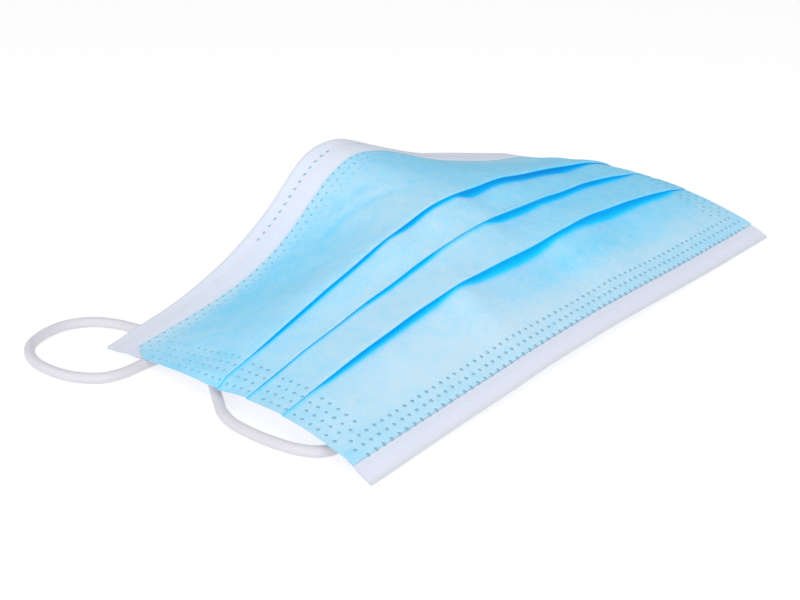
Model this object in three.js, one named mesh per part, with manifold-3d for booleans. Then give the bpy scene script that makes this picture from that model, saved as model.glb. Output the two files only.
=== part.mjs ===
// A pleated surgical face mask lying blue side up, with its nose edge bent into a peak.
// Millimetres, +X along the width, +Y towards the nose edge, +Z up, standing on z = 0.

import * as THREE from 'three';
import Module from 'manifold-3d';

// Size of the mask as it lies
const CHIN_WIDTH = 175;
const NOSE_WIDTH = 164;
const LENGTH = 90;

// Cloth walls
const WALL = 1;
const LAYER_GAP = 0.15;
const PIECE_GAP = 0.3;
const PITCH = WALL + LAYER_GAP;

// Hems, measured from the chin edge
const FLAT_HEM = 3;
const CHIN_SEAM = 5.4;
const NOSE_SEAM = 82;
const LAP = 3.5;

// Pleats: the visible fold of each, all folded towards the chin
const PLEAT_FOLDS = { low: 26.5, mid: 38, high: 48 };
const PLEAT_DEPTH = 8.5;
const PLEAT_MOUTH = 2.2;
const FOLD_REACH = 0.75 * WALL;
const FOLD_RISE = 0.7 * WALL;
const CREASE = 0.03;

// Nose wire and its lane in the hem
const WIRE_WIDTH = 2;
const WIRE_THICKNESS = 0.6;
const WIRE_SPAN = 9;
const LANE_START = 84;
const LANE_WALL = 0.8;

// Ear loops
const CORD_DIAMETER = 2.6;
const CORD_SIDES = 8;
const CORD_STEP = 2.4 * CORD_DIAMETER;

// Sections across the width. across is the share of the half width; the other columns are the
// heights of the visible edges in mm, and reach is how far the nose edge lies from the chin edge.
const COLUMNS = ['across', 'chin', 'chinSeam', 'low', 'mid', 'high', 'noseSeam', 'nose', 'reach'];
const SECTIONS = [
  [-1.00, 0.9, 3.2, 7.7, 8.5, 8.3, 3.8, 0.9, 90.0],
  [-0.90, 1.0, 3.9, 9.0, 9.6, 9.4, 5.2, 4.0, 90.0],
  [-0.75, 1.8, 4.3, 10.6, 11.5, 11.9, 5.5, 4.9, 90.0],
  [-0.60, 2.4, 4.7, 12.3, 13.5, 14.9, 6.4, 7.5, 90.0],
  [-0.45, 2.8, 5.0, 14.0, 15.6, 18.2, 9.2, 12.4, 90.0],
  [-0.30, 3.2, 5.5, 15.3, 18.1, 21.9, 16.0, 20.6, 90.0],
  [-0.20, 3.4, 5.7, 15.6, 19.8, 24.2, 22.6, 28.2, 90.0],
  [-0.10, 3.4, 5.7, 15.7, 21.0, 26.0, 28.3, 33.0, 90.0],
  [0.00, 3.4, 5.8, 15.7, 21.4, 26.6, 30.6, 33.1, 90.0],
  [0.10, 3.2, 5.6, 15.8, 21.1, 26.5, 29.5, 30.6, 89.8],
  [0.25, 2.8, 5.3, 15.9, 20.4, 25.4, 25.3, 25.5, 88.7],
  [0.45, 2.2, 4.7, 15.5, 19.3, 22.6, 19.6, 20.4, 85.6],
  [0.65, 1.6, 4.1, 13.9, 18.0, 19.9, 16.4, 17.3, 82.3],
  [0.80, 1.4, 3.8, 12.3, 15.9, 18.0, 14.6, 14.5, 80.2],
  [0.92, 1.0, 3.3, 10.3, 13.4, 14.4, 11.2, 9.6, 79.0],
  [1.00, 0.9, 2.8, 8.4, 9.8, 9.6, 5.0, 0.9, 78.5],
];
const STATIONS = 15;

// Ear loop routes: x from the middle, y from the chin edge and the height of the cord's axis
const ON_TABLE = 1.35;
const LEFT_LOOP = [
  [-69.9, 77.4, ON_TABLE], [-70.4, 81.4, ON_TABLE], [-71.0, 86.4, ON_TABLE], [-71.8, 91.9, ON_TABLE],
  [-73.4, 98.0, ON_TABLE], [-76.6, 103.2, ON_TABLE], [-81.8, 106.3, ON_TABLE], [-88.4, 106.2, ON_TABLE],
  [-94.6, 103.2, ON_TABLE], [-98.3, 97.2, ON_TABLE], [-99.2, 89.6, ON_TABLE], [-97.6, 82.2, ON_TABLE],
  [-93.8, 76.9, ON_TABLE], [-88.8, 75.1, ON_TABLE], [-83.0, 75.0, ON_TABLE], [-77.6, 74.0, ON_TABLE],
  [-74.5, 71.0, ON_TABLE], [-73.4, 67.2, ON_TABLE], [-74.3, 63.2, ON_TABLE], [-77.2, 58.4, ON_TABLE],
  [-80.7, 53.3, ON_TABLE], [-84.3, 48.2, ON_TABLE], [-87.2, 43.9, ON_TABLE], [-89.1, 38.6, ON_TABLE],
  [-89.6, 32.0, ON_TABLE], [-89.2, 25.4, ON_TABLE], [-88.0, 19.8, ON_TABLE], [-85.4, 15.6, ON_TABLE],
  [-81.2, 13.6, 1.7], [-76.4, 13.6, 2.9],
];
const RIGHT_LOOP = [
  [75.2, 15.6, 3.6], [69.0, 15.4, 2.4], [62.0, 15.2, 1.5], [55.5, 15.2, ON_TABLE],
  [49.6, 15.2, ON_TABLE], [45.8, 16.2, ON_TABLE], [43.0, 19.0, ON_TABLE], [42.0, 22.8, ON_TABLE],
  [43.0, 26.6, ON_TABLE], [45.8, 29.4, ON_TABLE], [49.6, 30.4, ON_TABLE], [56.0, 30.4, ON_TABLE],
  [63.0, 30.4, ON_TABLE], [69.4, 30.4, ON_TABLE], [73.2, 31.4, ON_TABLE], [76.0, 34.2, ON_TABLE],
  [77.0, 38.0, ON_TABLE], [76.0, 41.8, ON_TABLE], [73.2, 44.6, ON_TABLE], [69.4, 45.6, ON_TABLE],
  [63.0, 45.6, ON_TABLE], [56.0, 45.6, ON_TABLE], [49.6, 45.6, ON_TABLE], [45.8, 46.6, ON_TABLE],
  [43.0, 49.4, ON_TABLE], [42.0, 53.2, ON_TABLE], [43.0, 57.0, ON_TABLE], [45.8, 59.8, ON_TABLE],
  [49.6, 61.2, ON_TABLE], [56.0, 62.8, ON_TABLE], [63.0, 65.4, ON_TABLE], [70.0, 68.8, 1.5],
  [77.4, 73.0, 2.5],
];

// Monotone cubic through points (xs, ys): smooth, with no overshoot between rows.
function monotone(xs, ys) {
  const slopes = xs.slice(1).map((x, i) => (ys[i + 1] - ys[i]) / (x - xs[i]));
  const tangent = (i) => {
    const before = slopes[Math.max(i - 1, 0)];
    const after = slopes[Math.min(i, slopes.length - 1)];
    return before * after <= 0 ? 0 : (2 * before * after) / (before + after);
  };
  return (x) => {
    const i = Math.min(Math.max(xs.findIndex((knot) => knot > x) - 1, 0), xs.length - 2);
    const at = x >= xs[xs.length - 1] ? xs.length - 2 : i;
    const span = xs[at + 1] - xs[at];
    const t = (x - xs[at]) / span;
    const rise = THREE.MathUtils.lerp(ys[at], ys[at + 1], t * t * (3 - 2 * t));
    const start = tangent(at) * span * t * (1 - t) * (1 - t);
    const end = tangent(at + 1) * span * t * t * (1 - t);
    return rise + start - end;
  };
}

const across = SECTIONS.map((row) => row[0]);
const column = Object.fromEntries(
  COLUMNS.map((name, i) => [name, monotone(across, SECTIONS.map((row) => row[i]))]),
);

// Height of the visible surface over cloth place v (from the chin edge) at section u.
function topHeight(u, v) {
  const { low, mid, high } = PLEAT_FOLDS;
  const places = [0, FLAT_HEM, CHIN_SEAM, low, mid, high, NOSE_SEAM, LENGTH];
  const names = ['chin', 'chin', 'chinSeam', 'low', 'mid', 'high', 'noseSeam', 'nose'];
  return monotone(places, names.map((name) => column[name](u)))(v);
}

const halfWidth = (v) => THREE.MathUtils.lerp(CHIN_WIDTH, NOSE_WIDTH, v / LENGTH) / 2;

// The panel above the high pleat draws in where the nose edge reaches less far.
function planY(u, v) {
  const { high } = PLEAT_FOLDS;
  const reach = (column.reach(u) - high) / (LENGTH - high);
  return v <= high ? v : high + (v - high) * reach;
}

// How much longer an upright measure through the sloping wall is than the wall is thick.
function slopeStretch(u, v) {
  const du = 0.01;
  const dv = 0.5;
  const [left, right] = [Math.max(u - du, -1), Math.min(u + du, 1)];
  const [front, back] = [Math.max(v - dv, 0), Math.min(v + dv, LENGTH)];
  const alongX = (topHeight(right, v) - topHeight(left, v)) / ((right - left) * halfWidth(v));
  const alongY = (topHeight(u, back) - topHeight(u, front)) / (back - front);
  return Math.hypot(1, alongX, alongY);
}

// A point of the cloth at section u and place v, a depth below the visible surface.
function place(u, v, depth) {
  const z = topHeight(u, v) - depth * slopeStretch(u, v);
  return new THREE.Vector3(u * halfWidth(v), planY(u, v) - LENGTH / 2, Math.max(z, 0));
}

// Closed wall from sections of [outer, inner] point pairs.
function wallGeometry(sections) {
  const rows = sections.length;
  const cols = sections[0].length;
  const corner = (side, j, i) => (side * rows + j) * cols + i;
  const positions = [];
  for (const side of [0, 1]) {
    for (const section of sections) {
      for (const pair of section) positions.push(...pair[side].toArray());
    }
  }
  const index = [];
  const quad = (a, b, c, d) => index.push(a, b, c, a, c, d);
  for (let j = 0; j < rows - 1; j += 1) {
    for (let i = 0; i < cols - 1; i += 1) {
      quad(corner(0, j, i), corner(0, j + 1, i), corner(0, j + 1, i + 1), corner(0, j, i + 1));
      quad(corner(1, j, i), corner(1, j, i + 1), corner(1, j + 1, i + 1), corner(1, j + 1, i));
    }
    quad(corner(0, j, 0), corner(1, j, 0), corner(1, j + 1, 0), corner(0, j + 1, 0));
    const e = cols - 1;
    quad(corner(0, j, e), corner(0, j + 1, e), corner(1, j + 1, e), corner(1, j, e));
  }
  for (let i = 0; i < cols - 1; i += 1) {
    quad(corner(0, 0, i), corner(0, 0, i + 1), corner(1, 0, i + 1), corner(1, 0, i));
    const e = rows - 1;
    quad(corner(0, e, i), corner(1, e, i), corner(1, e, i + 1), corner(0, e, i + 1));
  }
  const geometry = new THREE.BufferGeometry();
  geometry.setAttribute('position', new THREE.Float32BufferAttribute(positions, 3));
  geometry.setIndex(index);
  geometry.computeVertexNormals();
  return geometry;
}

// Sections on the common grid, from station -last to +last.
function alongWidth(section, last = STATIONS) {
  const sections = [];
  for (let station = -last; station <= last; station += 1) sections.push(section(station / STATIONS));
  return sections;
}

// Blue panel: four runs joined by three Z-shaped pleats that open towards the middle.
const folds = Object.values(PLEAT_FOLDS);
const runStart = (run) => (run === 0 ? CHIN_SEAM : folds[run - 1]);
const mouth = (u) => PLEAT_MOUTH * (1 - u * u);
const pleatStep = (u) => 2 * PITCH + mouth(u);

// Depth of a run's outer face: it sinks from its own fold to the mouth of the next pleat.
function runDepth(u, run, v) {
  if (run === folds.length) return 0;
  const share = (v - runStart(run)) / (folds[run] - runStart(run));
  if (share <= 1) return share * pleatStep(u);
  return runDepth(u, run + 1, v) + pleatStep(u);
}

function runPlaces(run) {
  const start = runStart(run);
  const layers = (fold) => [fold, fold + PLEAT_DEPTH / 2, fold + PLEAT_DEPTH];
  if (run === 0) return [start, start + 6, start + 12, ...layers(folds[0])];
  if (run < folds.length) return [...layers(start), ...layers(folds[run])];
  return [...layers(start), 63, 70, 77, NOSE_SEAM];
}

// A fold in the sheet: its round side reaches out to v + reach, its crease stays at v.
function foldPairs(u, v, depth, roundIsOuter) {
  const way = roundIsOuter ? -1 : 1;
  return [1, -1].map((side) => {
    const round = place(u, v + way * FOLD_REACH, depth + side * FOLD_RISE);
    const crease = place(u, v + way * CREASE, depth + side * CREASE);
    return roundIsOuter ? [round, crease] : [crease, round];
  });
}

function panelSection(u) {
  const pairs = [];
  folds.concat(NOSE_SEAM).forEach((fold, run) => {
    for (const v of runPlaces(run)) {
      const depth = runDepth(u, run, v);
      pairs.push([place(u, v, depth), place(u, v, depth + WALL)]);
    }
    if (run === folds.length) return;
    const end = fold + PLEAT_DEPTH;
    pairs.push(...foldPairs(u, end, runDepth(u, run, end) - LAYER_GAP / 2, false));
    for (const v of [end, fold + PLEAT_DEPTH / 2, fold]) {
      const slant = (mouth(u) * (v - fold)) / PLEAT_DEPTH;
      const depth = runDepth(u, run + 1, v) + PITCH + slant;
      pairs.push([place(u, v, depth + WALL), place(u, v, depth)]);
    }
    pairs.push(...foldPairs(u, fold, WALL + LAYER_GAP / 2, true));
  });
  return pairs;
}

// White hems: level with the panel at their free edge, under it at the seam.
const lapDepth = WALL + PIECE_GAP;

function chinSection(u) {
  return [0, FLAT_HEM, CHIN_SEAM, CHIN_SEAM + LAP].map((v) => {
    const under = v < CHIN_SEAM ? 0 : lapDepth + runDepth(u, 0, v);
    return [place(u, v, under), place(u, v, under + WALL)];
  });
}

const laneHeight = WIRE_THICKNESS + 2 * PIECE_GAP;
const laneWidth = WIRE_WIDTH + 2 * PIECE_GAP;
const laneEnd = LANE_START + laneWidth;
const pocketDepth = 2 * LANE_WALL + laneHeight;

function noseSection(u) {
  const inLane = Math.abs(u) * STATIONS <= WIRE_SPAN;
  const thick = inLane ? pocketDepth : WALL;
  const profile = [
    [NOSE_SEAM - LAP, lapDepth, WALL],
    [NOSE_SEAM, lapDepth, WALL],
    [LANE_START - 2 * LANE_WALL, 0.3 * lapDepth, WALL],
    [LANE_START - LANE_WALL, 0, thick],
    [laneEnd + LANE_WALL, 0, thick],
    [laneEnd + 2 * LANE_WALL, 0, WALL],
    [LENGTH, 0, WALL],
  ];
  return profile.map(([v, depth, wall]) => [place(u, v, depth), place(u, v, depth + wall)]);
}

const strip = (from, to, top, bottom) => (u) => [from, to].map((v) => [place(u, v, top), place(u, v, bottom)]);
const laneSection = strip(LANE_START, laneEnd, LANE_WALL, LANE_WALL + laneHeight);
const wireTop = LANE_WALL + PIECE_GAP;
const wireSection = strip(
  LANE_START + PIECE_GAP, laneEnd - PIECE_GAP, wireTop, wireTop + WIRE_THICKNESS,
);

// Cutting one closed wall out of another
const wasm = await Module();
wasm.setup();

function solid(geometry) {
  const vertProperties = new Float32Array(geometry.attributes.position.array);
  const triVerts = new Uint32Array(geometry.index.array);
  return new wasm.Manifold(new wasm.Mesh({ numProp: 3, vertProperties, triVerts }));
}

function cut(body, tool) {
  const mesh = solid(body).subtract(solid(tool)).getMesh();
  const geometry = new THREE.BufferGeometry();
  geometry.setAttribute('position', new THREE.BufferAttribute(mesh.vertProperties, 3));
  geometry.setIndex(new THREE.BufferAttribute(mesh.triVerts, 1));
  geometry.computeVertexNormals();
  return geometry;
}

// Round elastic cord along a route
function cordGeometry(route) {
  const points = route.map(([x, y, z]) => new THREE.Vector3(x, y - LENGTH / 2, z));
  const path = new THREE.CatmullRomCurve3(points);
  const ring = Array.from({ length: CORD_SIDES }, (_, i) => {
    const angle = (2 * Math.PI * (i + 0.5)) / CORD_SIDES;
    return new THREE.Vector2(Math.cos(angle), Math.sin(angle)).multiplyScalar(CORD_DIAMETER / 2);
  });
  return new THREE.ExtrudeGeometry(new THREE.Shape(ring), {
    steps: Math.round(path.getLength() / CORD_STEP),
    extrudePath: path,
    bevelEnabled: false,
  });
}

const BLUE_NONWOVEN = { color: 0xa6def8, roughness: 0.85, metalness: 0 };
const WHITE_NONWOVEN = { color: 0xe6eaf4, roughness: 0.85, metalness: 0 };
const COATED_WIRE = { color: 0xd8dade, roughness: 0.45, metalness: 0 };
const WHITE_ELASTIC = { color: 0xe8e7ea, roughness: 0.8, metalness: 0 };

function piece(name, geometry, finish) {
  const mesh = new THREE.Mesh(geometry, new THREE.MeshStandardMaterial(finish));
  mesh.name = name;
  return mesh;
}

const noseHem = wallGeometry(alongWidth(noseSection));
const wireLane = wallGeometry(alongWidth(laneSection, WIRE_SPAN + 1));

const mask = new THREE.Group();
mask.add(
  piece('pleated_panel', wallGeometry(alongWidth(panelSection)), BLUE_NONWOVEN),
  piece('nose_band', cut(noseHem, wireLane), WHITE_NONWOVEN),
  piece('chin_band', wallGeometry(alongWidth(chinSection)), WHITE_NONWOVEN),
  piece('nose_wire', wallGeometry(alongWidth(wireSection, WIRE_SPAN)), COATED_WIRE),
  piece('ear_loop_left', cordGeometry(LEFT_LOOP), WHITE_ELASTIC),
  piece('ear_loop_right', cordGeometry(RIGHT_LOOP), WHITE_ELASTIC),
);

export default mask;
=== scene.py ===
# %% [markdown]
# # A pleated surgical face mask, lying blue side up
# The mask is a laminate of three spunbond plies, folded into three pleats, hemmed in white at the nose
# and chin, welded along all four sides, with a round elastic loop at each end. This lesson dresses the
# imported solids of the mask: each piece is made again as the thin cloth or cord that it really is, in
# the same frame. Sizes are in millimetres in the tables and become metres when a mesh is made.

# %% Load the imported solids
import bpy
import math
import numpy as np
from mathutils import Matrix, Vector
from mathutils.bvhtree import BVHTree


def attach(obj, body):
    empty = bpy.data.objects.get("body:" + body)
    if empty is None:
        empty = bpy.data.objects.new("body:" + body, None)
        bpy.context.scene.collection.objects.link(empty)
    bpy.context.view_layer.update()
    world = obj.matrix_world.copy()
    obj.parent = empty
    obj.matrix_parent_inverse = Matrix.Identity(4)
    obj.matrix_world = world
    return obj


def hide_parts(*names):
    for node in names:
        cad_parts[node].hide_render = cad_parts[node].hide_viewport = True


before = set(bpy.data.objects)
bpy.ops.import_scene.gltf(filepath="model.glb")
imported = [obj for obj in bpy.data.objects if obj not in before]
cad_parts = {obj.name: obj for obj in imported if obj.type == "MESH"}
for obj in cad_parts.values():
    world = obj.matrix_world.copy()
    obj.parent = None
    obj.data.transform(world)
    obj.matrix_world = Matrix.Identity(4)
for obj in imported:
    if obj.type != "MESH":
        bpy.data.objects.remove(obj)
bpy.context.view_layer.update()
MM = 0.001

# %% [markdown]
# ## The camera
# The photograph looks down at about 24 degrees from beyond the left chin corner. A camera's local Z axis
# points backwards, so a vector from the mask to the lens turns it, with its Y axis kept upright.
# The lens comes from the perspective of the four corners, for a 36 mm wide sensor.

# %% Camera at the photograph's angle
def add_object(name, data):
    thing = bpy.data.objects.new(name, data)
    bpy.context.scene.collection.objects.link(thing)
    return thing


AZIMUTH, ELEVATION = math.radians(-50.04), math.radians(24.45)
camera = add_object("product_camera", bpy.data.cameras.new("product_camera"))
camera.data.lens = 61.63
camera.data.sensor_width = 36
camera.data.clip_start = 0.01
camera.location = Vector((-264.49, -200.68, 148.5)) * MM
backwards = Vector((
    math.sin(AZIMUTH) * math.cos(ELEVATION),
    -math.cos(AZIMUTH) * math.cos(ELEVATION),
    math.sin(ELEVATION),
))
camera.rotation_euler = backwards.to_track_quat("Z", "Y").to_euler()
bpy.context.scene.camera = camera
print("camera stands", round(camera.location.length / MM), "mm from the middle of the mask")

# %% [markdown]
# ## A mesh from rows of points
# Cloth and cord are both grids: rows of points joined by quads. A tube is such a grid whose last column
# meets its first. One helper makes every piece, gives it a map of the flat material in decimetres, and marks
# the cut edges sharp so that they stay crisp.

# %% Mesh helper
DECIMETRE = 100
CRISP = math.radians(50)


def grid_faces(rows, columns, start=0):
    corner = start + np.arange(rows * columns).reshape(rows, columns)
    quads = [corner[:-1, :-1], corner[:-1, 1:], corner[1:, 1:], corner[1:, :-1]]
    return np.stack(quads, -1).reshape(-1, 4)


def tube_faces(rows, sides):
    """Quads round a tube, and the rings of numbered points that they join."""
    ring = np.arange(rows * sides).reshape(rows, sides)
    ring = np.hstack([ring, ring[:, :1]])
    quads = [ring[:-1, 1:], ring[:-1, :-1], ring[1:, :-1], ring[1:, 1:]]
    return np.stack(quads, -1).reshape(-1, 4).tolist(), ring


def make_piece(name, points, faces, finishes, flat=None, finish_of_face=None, crisp=True):
    mesh = bpy.data.meshes.new(name)
    mesh.from_pydata((points * MM).tolist(), [], faces)
    for finish in finishes:
        mesh.materials.append(finish)
    if finish_of_face is not None:
        mesh.polygons.foreach_set("material_index", finish_of_face.astype(np.int32))
    mesh.polygons.foreach_set("use_smooth", np.ones(len(faces), bool))
    if flat is not None:
        corners = np.zeros(len(mesh.loops), np.int32)
        mesh.loops.foreach_get("vertex_index", corners)
        cut = mesh.uv_layers.new(name="cut")
        cut.uv.foreach_set("vector", (flat[corners] / DECIMETRE).astype(np.float32).ravel())
    if crisp:
        mesh.set_sharp_from_angle(angle=CRISP)
    print(name, "has", len(mesh.vertices), "points and", len(mesh.polygons), "faces")
    return add_object(name, mesh)

# %% [markdown]
# ## Colours and nodes
# Colours are written as sRGB hex, the way a paint card gives them, and Blender's sockets want linear
# light, so one function turns them. A second small function adds any shader or geometry node with its
# settings and links, which keeps each material short enough to read.

# %% Colour and node helpers
def linear(hex_colour):
    channels = [int(hex_colour[i:i + 2], 16) / 255 for i in (1, 3, 5)]
    return [c / 12.92 if c <= 0.04045 else ((c + 0.055) / 1.055) ** 2.4 for c in channels] + [1.0]


def add_node(tree, kind, inputs=None, **settings):
    node = tree.nodes.new(kind)
    for name, value in settings.items():
        setattr(node, name, value)
    for key, value in (inputs or {}).items():
        if isinstance(value, bpy.types.NodeSocket):
            tree.links.new(value, node.inputs[key])
        else:
            node.inputs[key].default_value = value
    return node


def new_finish(name):
    finish = bpy.data.materials.new(name)
    finish.use_nodes = True
    finish.node_tree.nodes.clear()
    return finish, finish.node_tree

# %% [markdown]
# ## Knitted elastic
# The ear loops are a round knit of elastic yarn in soft white nylon. Up close it shows columns of
# small V stitches, and from a hand's width away only a dull, slightly furry, lavender-white cord.
# The stitches, about half a millimetre apart, are drawn on the cord's own map: one direction runs round
# it, the other along it.

# %% Knitted elastic finish
knitted_elastic, tree = new_finish("knitted_nylon_elastic")
where = add_node(tree, "ShaderNodeUVMap", uv_map="cut")
stitch = add_node(tree, "ShaderNodeTexWave", {
    "Vector": where.outputs[0],
    "Scale": DECIMETRE / 0.6 / 2,
    "Distortion": 3.0,
    "Detail": 1.0,
    "Detail Scale": 60.0,
}, wave_type="BANDS", bands_direction="DIAGONAL")
yarn = add_node(tree, "ShaderNodeTexNoise", {
    "Vector": where.outputs[0], "Scale": DECIMETRE / 0.5, "Detail": 3.0,
})
blotch = add_node(tree, "ShaderNodeTexNoise", {
    "Vector": where.outputs[0], "Scale": DECIMETRE / 5.0, "Detail": 2.0,
})
shade = add_node(tree, "ShaderNodeMix", {
    0: stitch.outputs["Fac"], 6: linear("#C9C8CE"), 7: linear("#D5D4D9"),
}, data_type="RGBA")
tint = add_node(tree, "ShaderNodeMix", {
    0: blotch.outputs["Fac"], 6: shade.outputs[2], 7: linear("#D1CFD7"),
}, data_type="RGBA")
height = add_node(tree, "ShaderNodeMath", {
    0: stitch.outputs["Fac"], 1: yarn.outputs["Fac"],
}, operation="ADD")
bump = add_node(tree, "ShaderNodeBump", {
    "Height": height.outputs[0], "Strength": 0.15, "Distance": 0.1 * MM,
})
skin = add_node(tree, "ShaderNodeBsdfPrincipled", {
    "Base Color": tint.outputs[2], "Normal": bump.outputs[0],
    "Roughness": 0.8, "Sheen Weight": 0.2, "Sheen Roughness": 0.5, "IOR": 1.5,
})
add_node(tree, "ShaderNodeOutputMaterial", {"Surface": skin.outputs[0]})
print("finish:", knitted_elastic.name)

# %% [markdown]
# ## Ear loops
# Each loop is about 167 mm of 2.6 mm cord, welded inside two corners of the mask. The left one shows in
# the photograph as two arcs on the table; the right one is tucked under the cloth. A limp cord follows
# one smooth line on the table, so a route of points is rounded with a centripetal curve, which never
# makes cusps, and a knitted tube is swept along it.

# %% Ear loop routes
LENGTH = 90.0
CORD_DIAMETER = 2.6
ON_TABLE = 1.35
LEFT_LOOP = [
    (-69.9, 77.4), (-70.4, 81.4), (-71.0, 86.4), (-71.8, 91.9), (-73.4, 98.0), (-76.6, 103.2), (-81.8, 106.3),
    (-88.4, 106.2), (-94.6, 103.2), (-98.3, 97.2), (-99.2, 89.6), (-97.6, 82.2), (-93.8, 76.9), (-88.8, 75.1),
    (-83.0, 75.0), (-77.6, 74.0), (-74.5, 71.0), (-73.4, 67.2), (-74.3, 63.2), (-77.2, 58.4), (-80.7, 53.3),
    (-84.3, 48.2), (-87.2, 43.9), (-89.1, 38.6), (-89.6, 32.0), (-89.2, 25.4), (-88.0, 19.8), (-85.4, 15.6),
    (-81.2, 13.6, 1.7), (-76.4, 13.6, 2.9),
]
RIGHT_LOOP = [
    (75.2, 15.6, 3.6), (69.0, 15.4, 2.4), (62.0, 15.2, 1.5), (55.5, 15.2), (49.6, 15.2), (45.8, 16.2),
    (43.0, 19.0), (42.0, 22.8), (43.0, 26.6), (45.8, 29.4), (49.6, 30.4), (56.0, 30.4), (63.0, 30.4),
    (69.4, 30.4), (73.2, 31.4), (76.0, 34.2), (77.0, 38.0), (76.0, 41.8), (73.2, 44.6), (69.4, 45.6),
    (63.0, 45.6), (56.0, 45.6), (49.6, 45.6), (45.8, 46.6), (43.0, 49.4), (42.0, 53.2), (43.0, 57.0),
    (45.8, 59.8), (49.6, 61.2), (56.0, 62.8), (63.0, 65.4), (70.0, 68.8, 1.5), (77.4, 73.0, 2.5),
]


def rounded_route(route, step=0.35):
    knots = np.array([(p[0], p[1] - LENGTH / 2, p[2] if len(p) > 2 else ON_TABLE) for p in route])
    knots = np.vstack([2 * knots[0] - knots[1], knots, 2 * knots[-1] - knots[-2]])
    line = []
    for a, b, c, d in zip(knots, knots[1:], knots[2:], knots[3:]):
        t1 = np.sqrt(np.linalg.norm(b - a))
        t2 = t1 + np.sqrt(np.linalg.norm(c - b))
        t3 = t2 + np.sqrt(np.linalg.norm(d - c))
        t = np.linspace(t1, t2, 24, endpoint=False)[:, None]
        ab = a + (b - a) * t / t1
        bc = b + (c - b) * (t - t1) / (t2 - t1)
        cd = c + (d - c) * (t - t2) / (t3 - t2)
        abc = ab + (bc - ab) * t / t2
        bcd = bc + (cd - bc) * (t - t1) / (t3 - t1)
        line.append(abc + (bcd - abc) * (t - t1) / (t2 - t1))
    line = np.vstack(line + [knots[-2:-1]])
    run = np.concatenate([[0], np.cumsum(np.linalg.norm(np.diff(line, axis=0), axis=1))])
    places = np.linspace(0, run[-1], round(run[-1] / step) + 1)
    return np.stack([np.interp(places, run, line[:, i]) for i in range(3)], 1), run[-1]


print("points on the routes:", len(LEFT_LOOP), "left and", len(RIGHT_LOOP), "right")

# %% [markdown]
# The tube carries its frame along the route, so the knit doesn't twist. Twelve wales, the columns of the
# knit, stand out a little as ribs. At each end the cord was pressed flat by the welding horn, so the last
# few millimetres spread sideways and thin out.

# %% Ear loop tube
SIDES, WALES = 24, 12
STITCH_LENGTH, RIB_HEIGHT = 0.7, 0.012
CORE_SHARE = 0.985
PRESSED_END, SPREAD, FLATTENED = 6, 0.45, 0.4


def ease(x):
    """Smooth step from nothing at 0 to one at 1."""
    x = np.clip(x, 0, 1)
    return x * x * (3 - 2 * x)


def cord_piece(name, route):
    line, length = rounded_route(route)
    ahead = np.gradient(line, axis=0)
    ahead /= np.linalg.norm(ahead, axis=1, keepdims=True)
    side = np.cross(ahead, (0, 0, 1))
    side /= np.linalg.norm(side, axis=1, keepdims=True)
    up = np.cross(side, ahead)
    angle = np.linspace(0, 2 * np.pi, SIDES, endpoint=False)
    along = np.linspace(0, length, len(line))
    pressed = ease(1 - np.minimum(along, length - along) / PRESSED_END)
    stitch = 0.7 + 0.3 * np.cos(2 * np.pi * along / STITCH_LENGTH)
    ribs = 1 + RIB_HEIGHT * np.cos(WALES * angle) * stitch[:, None]
    radius = CORD_DIAMETER / 2 * CORE_SHARE * ribs
    wide, tall = 1 + SPREAD * pressed, 1 - FLATTENED * pressed
    ring = line[:, None] + (radius * np.cos(angle) * wide[:, None])[..., None] * side[:, None]
    ring += (radius * np.sin(angle) * tall[:, None])[..., None] * up[:, None]
    points = np.vstack([ring.reshape(-1, 3), line[:1], line[-1:]])
    faces, rings = tube_faces(len(line), SIDES)
    first, last = len(points) - 2, len(points) - 1
    faces += [[first, rings[0, i], rings[0, i + 1]] for i in range(SIDES)]
    faces += [[last, rings[-1, i + 1], rings[-1, i]] for i in range(SIDES)]
    around = angle / (2 * np.pi) * math.pi * CORD_DIAMETER
    flat = np.stack([np.tile(around, len(line)), np.repeat(along, SIDES)], 1)
    flat = np.vstack([flat, [[0, 0]], [[0, length]]])
    return make_piece(name, points, faces, [knitted_elastic], flat, crisp=False), line, length

# %% [markdown]
# Both loops are made the same way and stand where their solids are, and the length of each is printed.

# %% Ear loops
for node, route in {"ear_loop_left": LEFT_LOOP, "ear_loop_right": RIGHT_LOOP}.items():
    loop, line, length = cord_piece("knitted_" + node, route)
    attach(loop, "root")
    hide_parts(node)
    print(node, "is", round(length, 1), "mm long")

# %% [markdown]
# ## The surface of the cloth
# Everything else lies on one surface. Seven lines of the mask show in the photograph: the chin edge, the chin
# welds, the three pleat folds, the nose seam and the nose edge. An eighth crosses the wide run behind the
# folds. The table gives the height of each line at 21 places across the width, and a monotone cubic joins
# them both ways, which is smooth and never overshoots. A sculpted grid would also do, but a table can be
# checked line by line.

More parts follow.
